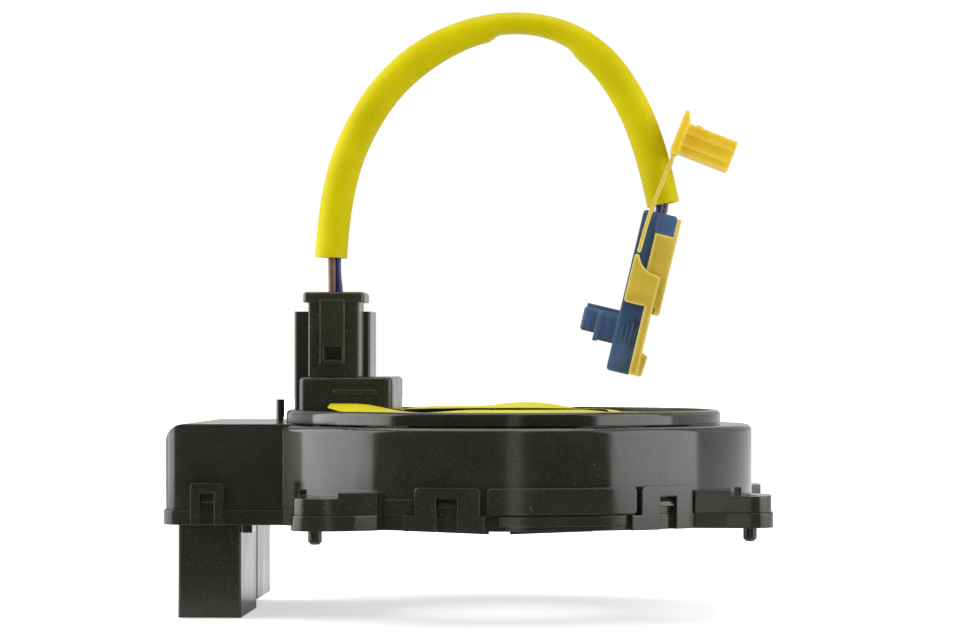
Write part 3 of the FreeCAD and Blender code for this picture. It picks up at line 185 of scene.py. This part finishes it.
def ramp_node(tree, factor, stops):
    """Colour that follows the factor through rising stops of (position, shade or colour)."""
    node = tree.nodes.new("ShaderNodeValToRGB")
    elements = node.color_ramp.elements
    elements.remove(elements[1])
    elements[0].position = stops[0][0]
    for spot, _ in stops[1:]:
        elements.new(spot)
    for element, (_, colour) in zip(elements, stops):
        shade = (colour,) * 3 if isinstance(colour, (int, float)) else colour
        element.color = tuple(shade) + (1.0,)
    tree.links.new(factor, node.inputs["Fac"])
    return node.outputs["Color"]


class Finish:
    """Node material that reads the piece's own coordinates in metres."""

    def __init__(self, name, edge_round=0.0):
        self.material = bpy.data.materials.new(name)
        self.material.use_nodes = True
        self.tree = self.material.node_tree
        self.nodes, self.links = self.tree.nodes, self.tree.links
        self.maths = partial(maths_node, self.tree)
        self.ramp = partial(ramp_node, self.tree)
        self.shader = self.nodes["Principled BSDF"]
        self.place = self.nodes.new("ShaderNodeTexCoord").outputs["Object"]
        self.normal = None
        if edge_round:
            self.normal = self.bevelled_normal(edge_round)
            self.links.new(self.normal, self.shader.inputs["Normal"])

    def bevelled_normal(self, radius):
        """Normal that turns smoothly over the radius round every edge."""
        bevel = self.nodes.new("ShaderNodeBevel")
        bevel.samples = 6
        bevel.inputs["Radius"].default_value = radius
        return bevel.outputs["Normal"]

    def constant(self, **values):
        """Sets sockets of the shader to fixed values; an underscore stands for a space."""
        for name, value in values.items():
            self.shader.inputs[name.replace("_", " ")].default_value = value
        return self

    def noise(self, scale, detail=3.0, stretch=(1, 1, 1), distortion=0.0):
        """Cloudy noise over the piece; a small stretch value draws it out along that axis."""
        mapping = self.nodes.new("ShaderNodeMapping")
        mapping.inputs["Scale"].default_value = stretch
        self.links.new(self.place, mapping.inputs["Vector"])
        node = self.nodes.new("ShaderNodeTexNoise")
        node.inputs["Scale"].default_value = scale
        node.inputs["Detail"].default_value = detail
        node.inputs["Distortion"].default_value = distortion
        self.links.new(mapping.outputs["Vector"], node.inputs["Vector"])
        return node.outputs["Fac"]

    def cells(self, scale):
        """Distance from the middle of scattered cells, and a colour of its own for each."""
        node = self.nodes.new("ShaderNodeTexVoronoi")
        node.inputs["Scale"].default_value = scale
        self.links.new(self.place, node.inputs["Vector"])
        return node.outputs["Distance"], node.outputs["Color"]

    def edges(self, radius):
        """1 along the piece's corners, falling to 0 on its open faces."""
        alike = self.nodes.new("ShaderNodeVectorMath")
        alike.operation = "DOT_PRODUCT"
        self.links.new(self.bevelled_normal(radius), alike.inputs[0])
        true = self.nodes.new("ShaderNodeNewGeometry").outputs["True Normal"]
        self.links.new(true, alike.inputs[1])
        return self.ramp(alike.outputs["Value"], [(0.8, 1.0), (0.998, 0.0)])

    def mixed(self, factor, first, second):
        """Colour from first, at factor 0, to second, at factor 1."""
        node = self.nodes.new("ShaderNodeMix")
        node.data_type = "RGBA"
        self.links.new(factor, node.inputs["Factor"])
        for name, value in (("A", first), ("B", second)):
            socket = next(s for s in node.inputs if s.name == name and s.type == "RGBA")
            if isinstance(value, tuple):
                socket.default_value = value + (1.0,)
            else:
                self.links.new(value, socket)
        return next(s for s in node.outputs if s.type == "RGBA")

    def bumped(self, height, strength, depth):
        """Adds relief on top of the rounding and relief that the finish already has."""
        node = self.nodes.new("ShaderNodeBump")
        node.inputs["Strength"].default_value = strength
        node.inputs["Distance"].default_value = depth
        self.links.new(height, node.inputs["Height"])
        if self.normal is not None:
            self.links.new(self.normal, node.inputs["Normal"])
        self.normal = node.outputs["Normal"]
        self.links.new(self.normal, self.shader.inputs["Normal"])
        return self

    def feed(self, socket, value):
        """Joins an output to a socket of the shader."""
        self.links.new(value, self.shader.inputs[socket])
        return self


def black_moulding(name, dark, light, rough, edge_round, waviness=0.3, dusty=0.25):
    """Glossy black plastic with faint cloudy marks, a slow wave in its face and dust on it.

    rough is the least and the most roughness, and dusty the share of the finest dust."""
    look = Finish(name, edge_round)
    colour = look.ramp(look.noise(90, 5), [(0.3, dark), (0.75, light)])
    dust, chance = look.cells(620)
    speck = look.ramp(dust, [(0.05, 1.0), (0.1, 0.0)])
    chosen = look.ramp(chance, [(0.7, 0.0), (0.74, 1.0)])
    colour = look.mixed(look.maths("MULTIPLY", speck, chosen), colour, (0.12, 0.12, 0.11))
    haze = look.ramp(look.noise(2300, 2), [(0.5, 0.0), (0.8, dusty)])
    colour = look.mixed(haze, colour, (0.08, 0.085, 0.06))
    # Paler colour along the edges: a painted highlight, where the edges catch the light.
    edge_highlight = look.maths("MULTIPLY", look.edges(EDGE_HIGHLIGHT_RADIUS), 0.25)
    look.feed("Base Color", look.mixed(edge_highlight, colour, (0.1, 0.1, 0.085)))
    look.feed("Roughness", look.ramp(look.noise(140, 4, (1, 1, 0.35)),
                                     [(0.3, rough[0]), (0.75, rough[1])]))
    look.bumped(look.noise(28, 2, (1, 1, 0.5)), waviness, 0.0006)
    look.bumped(look.noise(2600, 2), 0.05, 0.00004)
    return look.constant(Specular_IOR_Level=0.5).material


def soft_plastic(name, dark, light, rough, edge_round, glow=0.0, painted_edge_light=None, shine=0.5):
    """Coloured nylon moulding: satin, a little translucent, with faint flow clouds.

    glow is how much light spreads inside it, and the edge colour is painted light: a paler colour
    painted along its corners."""
    look = Finish(name, edge_round)
    colour = look.ramp(look.noise(160, 4, distortion=0.6), [(0.3, dark), (0.72, light)])
    # Paler colour along the corners: painted light.
    if painted_edge_light:
        colour = look.mixed(look.edges(EDGE_LIGHT_RADIUS), colour, painted_edge_light)
    look.feed("Base Color", colour)
    look.feed("Roughness", look.ramp(look.noise(420, 3), [(0.3, rough[0]), (0.75, rough[1])]))
    look.bumped(look.noise(220, 3), 0.2, 0.00012)
    look.bumped(look.noise(3000, 2), 0.15, 0.00003)
    if glow:
        look.constant(Subsurface_Weight=glow, Subsurface_Radius=(1.0, 0.75, 0.25),
                      Subsurface_Scale=0.0015)
    return look.constant(Specular_IOR_Level=shine).material


def lead_insulation(name, dark, light):
    """Thin wall wire insulation with a soft sheen and small worn marks."""
    look = Finish(name)
    look.feed("Base Color", look.ramp(look.noise(500, 4), [(0.35, dark), (0.7, light)]))
    look.feed("Roughness", look.ramp(look.noise(900, 3), [(0.3, 0.3), (0.7, 0.45)]))
    look.bumped(look.noise(1500, 2), 0.2, 0.00004)
    return look.material


def sleeve_skin():
    """Soft yellow tube: satin, slightly clouded, with small dents and marks."""
    look = Finish("yellow_tube")
    colour = look.ramp(look.noise(75, 4), [(0.3, (0.47, 0.4, 0.0004)), (0.7, (0.59, 0.51, 0.0008))])
    marks = look.ramp(look.noise(900, 5, distortion=1.5), [(0.705, 0.0), (0.75, 1.0)])
    colour = look.mixed(marks, colour, (0.4, 0.33, 0.004))
    look.feed("Base Color", colour)
    look.feed("Roughness", look.ramp(look.noise(260, 3), [(0.3, 0.36), (0.75, 0.5)]))
    look.bumped(look.noise(110, 2), 0.3, 0.0003)
    look.bumped(look.noise(1800, 3), 0.18, 0.00005)
    look.constant(Subsurface_Weight=0.05, Subsurface_Radius=(1.0, 0.9, 0.1),
                  Subsurface_Scale=0.0012, Specular_IOR_Level=0.06)
    return look.material


def film(name, dark, light, rough):
    """Thin plastic film with faint ripples."""
    look = Finish(name)
    look.feed("Base Color", look.ramp(look.noise(60, 4), [(0.3, dark), (0.7, light)]))
    look.feed("Roughness", look.ramp(look.noise(300, 2), [(0.3, rough[0]), (0.7, rough[1])]))
    look.bumped(look.noise(45, 2), 0.3, 0.0004)
    return look.constant(Specular_IOR_Level=0.2).material


def tinned_metal():
    """Tin plated brass with fine drawing lines along the blade."""
    look = Finish("tin_plating", 0.00008)
    lines = look.noise(700, 3, (1, 1, 0.08))
    look.feed("Base Color", look.ramp(lines, [(0.3, (0.56, 0.54, 0.5)), (0.7, (0.74, 0.72, 0.68))]))
    look.feed("Roughness", look.ramp(lines, [(0.3, 0.22), (0.7, 0.4)]))
    return look.bumped(lines, 0.15, 0.00003).constant(Metallic=1.0).material


def sintered():
    """Dull grey bead with pitted faces."""
    look = Finish("ferrite", 0.0002)
    grain = look.noise(1800, 4)
    look.feed("Base Color", look.ramp(grain, [(0.3, (0.04, 0.04, 0.043)),
                                              (0.7, (0.09, 0.09, 0.1))]))
    look.feed("Roughness", look.ramp(grain, [(0.3, 0.6), (0.7, 0.8)]))
    return look.bumped(grain, 0.4, 0.00005).material


DRUM_BLACK = black_moulding("drum_black", (0.012, 0.013, 0.009), (0.022, 0.024, 0.017),
                            (0.09, 0.17), 0.00035)
ROTOR_BLACK = black_moulding("rotor_black", (0.011, 0.011, 0.008), (0.02, 0.021, 0.015),
                             (0.09, 0.16), 0.0003)
SOCKET_BLACK = black_moulding("socket_black", (0.014, 0.015, 0.008), (0.024, 0.027, 0.014),
                              (0.18, 0.28), 0.0003, waviness=0.2, dusty=0.3)
WHITE_NYLON = soft_plastic("white_nylon", (0.55, 0.54, 0.49), (0.66, 0.65, 0.6), (0.4, 0.5),
                           0.0002)
LOCK_YELLOW = soft_plastic("lock_yellow", (0.47, 0.33, 0.02), (0.6, 0.44, 0.05), (0.36, 0.48),
                           0.00025, glow=0.12, painted_edge_light=(0.78, 0.64, 0.18), shine=0.3)
CAP_YELLOW = soft_plastic("cap_yellow", (0.72, 0.46, 0.006), (0.8, 0.55, 0.02), (0.34, 0.46),
                          0.00025, glow=0.12, painted_edge_light=(0.84, 0.68, 0.1), shine=0.2)
PLUG_BLUE = soft_plastic("plug_blue", (0.026, 0.066, 0.155), (0.055, 0.112, 0.23), (0.4, 0.52),
                         0.0003, painted_edge_light=(0.085, 0.15, 0.25), shine=0.25)
TIN = tinned_metal()
BARE_FILM = film("bare_film", (0.6, 0.6, 0.56), (0.72, 0.72, 0.68), (0.25, 0.35))
LABEL_FILM = film("label_yellow", (0.5, 0.45, 0.003), (0.62, 0.56, 0.01), (0.35, 0.5))

FINISHES = {
    DRUM_BLACK: ["case", "bottom_cover"],
    ROTOR_BLACK: ["rotor"],
    SOCKET_BLACK: ["column_connector", "connector_block", "lead_holder"],
    WHITE_NYLON: ["retainer_ring"],
    LOCK_YELLOW: ["squib_cover", "squib_lock_frame", "lock_straps"],
    CAP_YELLOW: ["lock_cap"],
    PLUG_BLUE: ["squib_housing"],
    TIN: ["front_terminal_pins", "rear_terminal_pins", "switch_pins", "lead_terminals",
          "squib_terminals"],
    BARE_FILM: ["lower_slide_sheet", "upper_slide_sheet", "flat_cable"],
    sintered(): ["squib_ferrite"],
}


def dress_cad_nodes():
    """Gives every rigid node of the frame its finish."""
    for material, names in FINISHES.items():
        for name in names:
            for slot in NODES[name].material_slots:
                slot.material = material


def make_wire(name, route, material):
    """One wire of the lead, from its terminal in the holder to the airbag connector."""
    wire = lead_curve(name + "_lead", route)
    wire.data.bevel_depth = WIRE_DIAMETER / 2
    wire.data.bevel_resolution = 5
    wire.data.use_fill_caps = True
    wire.data.materials.append(material)
    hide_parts(name)
    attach(wire, "rotor_body")
    return wire


def plateau(place, start, end, slope):
    """1 between start and end, falling smoothly to 0 over the slope beyond each."""
    gap = max(start - place, place - end, 0.0) / slope
    return 0.0 if gap >= 1 else 0.5 + 0.5 * math.cos(math.pi * gap)


def make_sleeve():
    """Loose yellow tube: a round skin pressed flat where it crests, then given its wall."""
    path = points_along(SLEEVE_ROUTE)
    skin = lead_curve("sleeve_tube", SLEEVE_ROUTE)
    skin.data.bevel_depth = SLEEVE_DIAMETER / 2
    skin.data.bevel_resolution = 10
    nothing_selected()
    skin.select_set(True)
    bpy.context.view_layer.objects.active = skin
    bpy.ops.object.convert(target="MESH")
    sleeve = bpy.context.object
    sides = len(sleeve.data.vertices) // len(path)
    bpy.ops.object.mode_set(mode="EDIT")
    shape = bmesh.from_edit_mesh(sleeve.data)
    for index, centre in enumerate(path):
        presses = [(plateau(centre.x, start, end, slope), widen, flatten, lift)
                   for start, end, slope, widen, flatten, lift in SLEEVE_PRESSES]
        if centre.z < PRESS_ABOVE or not any(share for share, *_ in presses):
            continue
        shape.verts.ensure_lookup_table()
        for vertex in shape.verts:
            vertex.select = vertex.index // sides == index
        shape.select_flush_mode()
        bmesh.update_edit_mesh(sleeve.data)
        for share, widen, flatten, lift in presses:
            bpy.ops.transform.resize(value=(1, 1 + widen * share, 1 - flatten * share),
                                     center_override=centre + Vector((0, 0, lift)))
    bpy.ops.object.mode_set(mode="OBJECT")
    wall = sleeve.modifiers.new("wall", "SOLIDIFY")
    wall.thickness = SLEEVE_WALL
    wall.offset = -1
    bpy.ops.object.modifier_apply(modifier=wall.name)
    bpy.ops.object.shade_smooth_by_angle(angle=math.radians(50))
    sleeve.data.materials.clear()
    sleeve.data.materials.append(sleeve_skin())
    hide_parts("lead_sleeve")
    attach(sleeve, "rotor_body")
    return sleeve, path


def flat_ring():
    """Flat ring of film in bands of faces, left in edit mode."""
    nothing_selected()
    bpy.ops.mesh.primitive_circle_add(vertices=FILM_SIDES, radius=FILM_INNER,
                                      fill_type="NOTHING", location=(0, 0, 0))
    ring = bpy.context.object
    ring.name = "label_ring"
    bpy.ops.object.mode_set(mode="EDIT")
    bpy.ops.mesh.select_all(action="SELECT")
    bpy.ops.transform.translate(value=(0, 0, FILM_LEVEL))
    width = (FILM_OUTER - FILM_INNER) / FILM_BANDS
    for band in range(FILM_BANDS):
        grow = (FILM_INNER + width * (band + 1)) / (FILM_INNER + width * band)
        bpy.ops.mesh.extrude_edges_move()
        bpy.ops.transform.resize(value=(grow, grow, 1), center_override=(0, 0, FILM_LEVEL))
    return ring


def open_at_block(ring):
    """Cuts the ring open round the connector block, and takes off the corner in front of it."""
    for spot, normal in (((BLOCK_RIGHT, 0, 0), (1, 0, 0)), ((0, BLOCK_FRONT, 0), (0, 1, 0)),
                         ((0, BLOCK_BACK, 0), (0, 1, 0)), ((CORNER_RIGHT, 0, 0), (1, 0, 0))):
        bpy.ops.mesh.select_all(action="SELECT")
        bpy.ops.mesh.bisect(plane_co=spot, plane_no=normal)
    bpy.ops.mesh.select_mode(type="FACE")
    shape = bmesh.from_edit_mesh(ring.data)
    for face in shape.faces:
        middle = face.calc_center_median()
        beside_block = middle.x < BLOCK_RIGHT and BLOCK_FRONT < middle.y < BLOCK_BACK
        outer_corner = middle.x < CORNER_RIGHT and CORNER_FRONT < middle.y < BLOCK_FRONT
        face.select_set(beside_block or outer_corner)
    bmesh.update_edit_mesh(ring.data)
    bpy.ops.mesh.delete(type="FACE")
    bpy.ops.mesh.select_mode(type="VERT")


# Places on the flat film from which it comes up, as tests of a point.
def from_axis(place):
    """Distance from the steering axis."""
    return math.hypot(place.x, place.y)


def inner_edge(place):
    return from_axis(place) < FILM_INNER + 0.001


def inner_edge_front(place):
    return place.y < -0.016 and -0.006 < place.x < 0.02 and inner_edge(place)


def inner_edge_rear(place):
    return place.y > 0.008 and inner_edge(place)


def hump(place):
    return place.y > 0 and -0.018 < place.x < 0.010 and 0.036 < from_axis(place) < 0.044


def hump_peak(place):
    return place.y > 0 and abs(place.x - 0.003) < 0.003 and 0.036 < from_axis(place) < 0.042


def front_lobe(place):
    return (BLOCK_FRONT - 0.003 < place.y <= BLOCK_FRONT + 0.0001
            and CORNER_RIGHT - 0.0001 < place.x < -0.030)


# Where the film has come up off the disc: which points, how far, and how wide the lift is.
FILM_LIFTS = [
    (inner_edge, 0.0006, 0.008),
    (inner_edge_front, 0.0007, 0.014),
    (hump, 0.0013, 0.014),
    (hump_peak, 0.0009, 0.0095),
    (inner_edge_rear, 0.0005, 0.006),
    (front_lobe, 0.0026, 0.016),
]


def make_label():
    """Plain film ring that has come off the disc: humped behind the bore, curled at the block."""
    ring = flat_ring()
    open_at_block(ring)
    for wanted, rise, reach in FILM_LIFTS:
        bpy.ops.mesh.select_all(action="DESELECT")
        choose_vertices(ring, wanted)
        bpy.ops.transform.translate(value=(0, 0, rise), use_proportional_edit=True,
                                    use_proportional_connected=True,
                                    proportional_edit_falloff="SMOOTH", proportional_size=reach)
    bpy.ops.object.mode_set(mode="OBJECT")
    wall = ring.modifiers.new("wall", "SOLIDIFY")
    wall.thickness = FILM_THICKNESS
    wall.offset = 0
    bpy.ops.object.modifier_apply(modifier=wall.name)
    bpy.ops.object.shade_smooth_by_angle(angle=math.radians(40))
    ring.data.materials.append(LABEL_FILM)
    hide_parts("label")
    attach(ring, "rotor_body")


def make_lead():
    """The lead's two wires and sleeve. The brown wire carries the airbag connector."""
    brown = make_wire("wire_brown", BROWN_ROUTE,
                      lead_insulation("brown_wire", (0.13, 0.06, 0.035), (0.2, 0.1, 0.06)))
    blue = make_wire("wire_blue", BLUE_ROUTE,
                     lead_insulation("blue_wire", (0.016, 0.022, 0.13), (0.04, 0.055, 0.25)))
    sleeve, path = make_sleeve()


def make_camera():
    """Camera at the photo's place, with its field of view."""
    data = bpy.data.cameras.new("photo_camera")
    data.sensor_width = 36.0
    data.lens = FOCAL_PIXELS * data.sensor_width / PHOTO_WIDTH
    data.clip_start = 0.01
    camera = bpy.data.objects.new("photo_camera", data)
    camera.location = CAMERA_SPOT
    camera.rotation_euler = (math.pi / 2 + CAMERA_RISE, 0, CAMERA_TURN)
    bpy.context.scene.collection.objects.link(camera)
    bpy.context.scene.camera = camera


def front_of_room(tree, sideways):
    """Brightness of the room's front; sideways runs from far left (-1) to far right (1)."""
    across = maths_node(tree, "MULTIPLY", maths_node(tree, "ADD", sideways, 1.0), 0.5)
    return ramp_node(tree, across, ROOM_FRONT)


def make_floor():
    """Pale floor that looks white to the camera and still keeps the part's shadow."""
    nothing_selected()
    bpy.ops.mesh.primitive_plane_add(size=8, location=(0, 0, FLOOR_LEVEL - 0.0002))
    floor = bpy.context.object
    floor.name = "floor"
    look = Finish("floor_card")
    nodes, links = look.nodes, look.links
    path = nodes.new("ShaderNodeLightPath")
    mirrored = path.outputs["Is Glossy Ray"]
    where = nodes.new("ShaderNodeSeparateXYZ")
    links.new(look.place, where.inputs["Vector"])
    far = nodes.new("ShaderNodeVectorMath")
    far.operation = "LENGTH"
    links.new(look.place, far.inputs[0])
    sideways = look.maths("DIVIDE", where.outputs["X"], far.outputs["Value"])
    dark = look.maths("SUBTRACT", 1.0, front_of_room(look.tree, sideways))
    in_front = look.maths("LESS_THAN", where.outputs["Y"], FRONT_FLOOR_EDGE)
    dark = look.maths("MULTIPLY", look.maths("MULTIPLY", dark, in_front), mirrored)
    seen = look.maths("MAXIMUM", path.outputs["Is Camera Ray"], path.outputs["Is Transmission Ray"])
    faint = look.maths("MULTIPLY", look.maths("SUBTRACT", mirrored, dark), MIRRORED_FLOOR)
    seen = look.maths("MAXIMUM", seen, faint)
    grain = look.ramp(look.noise(3, 2), [(0.3, 0.79), (0.7, 0.81)])
    look.feed("Base Color", look.mixed(dark, grain, (0.0, 0.0, 0.0)))
    look.constant(Roughness=0.9, Specular_IOR_Level=0.0)
    away = look.maths("MULTIPLY", look.maths("MINIMUM", far.outputs["Value"], 1.0), FLOOR_GLOW_GAIN)
    glow = nodes.new("ShaderNodeEmission")
    level = look.maths("ADD", away, FLOOR_GLOW)
    links.new(look.maths("MULTIPLY", seen, level), glow.inputs["Strength"])
    both = nodes.new("ShaderNodeAddShader")
    links.new(look.shader.outputs["BSDF"], both.inputs[0])
    links.new(glow.outputs["Emission"], both.inputs[1])
    links.new(both.outputs["Shader"], nodes["Material Output"].inputs["Surface"])
    floor.data.materials.append(look.material)


def make_world():
    """Pale surroundings, white behind the part, with the dim side of the room at the front."""
    world = bpy.data.worlds.new("studio")
    bpy.context.scene.world = world
    world.use_nodes = True
    nodes, links = world.node_tree.nodes, world.node_tree.links
    background = nodes["Background"]
    path = nodes.new("ShaderNodeLightPath")
    direction = nodes.new("ShaderNodeTexCoord").outputs["Generated"]
    split = nodes.new("ShaderNodeSeparateXYZ")
    links.new(direction, split.inputs["Vector"])
    maths = partial(maths_node, world.node_tree)
    rear = maths("MULTIPLY", maths("GREATER_THAN", split.outputs["Y"], -0.2), REAR_LEVEL)
    front = maths("MAXIMUM", front_of_room(world.node_tree, split.outputs["X"]), rear)
    mirrored = maths("MULTIPLY", path.outputs["Is Glossy Ray"],
                     maths("SUBTRACT", front, ROOM_LEVEL))
    seen = maths("MAXIMUM", path.outputs["Is Camera Ray"], path.outputs["Is Transmission Ray"])
    direct = maths("MULTIPLY", seen, 1.0 - ROOM_LEVEL)
    links.new(maths("ADD", ROOM_LEVEL, maths("ADD", mirrored, direct)),
              background.inputs["Strength"])
    background.inputs["Color"].default_value = (1, 1, 1, 1)


def make_lamp(name, spot, aim, width, height, power):
    """Flat rectangular lamp at a spot, turned to face the aim."""
    data = bpy.data.lights.new(name, "AREA")
    data.shape = "RECTANGLE"
    data.size = width
    data.size_y = height
    data.energy = power
    lamp = bpy.data.objects.new(name, data)
    lamp.location = spot
    lamp.rotation_euler = (Vector(aim) - Vector(spot)).to_track_quat("-Z", "Y").to_euler()
    bpy.context.scene.collection.objects.link(lamp)


dress_cad_nodes()
make_lead()
make_label()
make_camera()
make_floor()
make_world()
for lamp_name, lamp_values in LAMPS.items():
    make_lamp(lamp_name, *lamp_values)
bpy.context.scene.view_settings.view_transform = "Standard"

bpy.context.view_layer.update()
